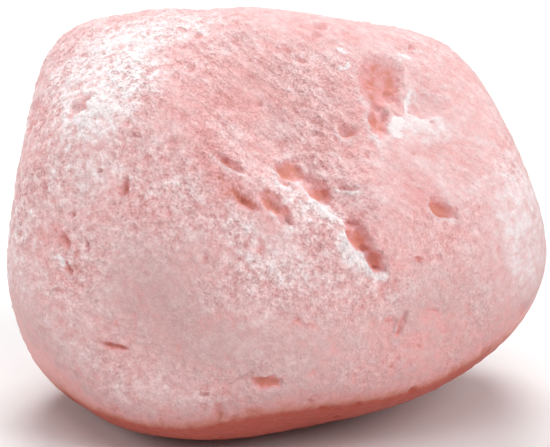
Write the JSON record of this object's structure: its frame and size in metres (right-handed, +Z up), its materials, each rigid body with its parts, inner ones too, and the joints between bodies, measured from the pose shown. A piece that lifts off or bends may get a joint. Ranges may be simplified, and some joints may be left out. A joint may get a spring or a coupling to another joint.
{
  "type": "tumbled rose quartz stone",
  "caption": "Solid tumbled rose quartz stone: a rounded frosted pink block with worn flats, a hollow broken face, pits and slits, resting on a worn flat underside.",
  "frame": {"origin": "middle of the stone's box, on the plane of the flat underside that it rests on", "axes": "+Z up, square to the resting face; +X along the stone's longest way across; -Y towards the front, where the broken face is"},
  "size_m": [0.0316, 0.026, 0.024],
  "materials": {
    "rose_quartz": "matte"
  },
  "bodies": {
    "root": {"stone": "rose_quartz"}
  },
  "joints": []
}
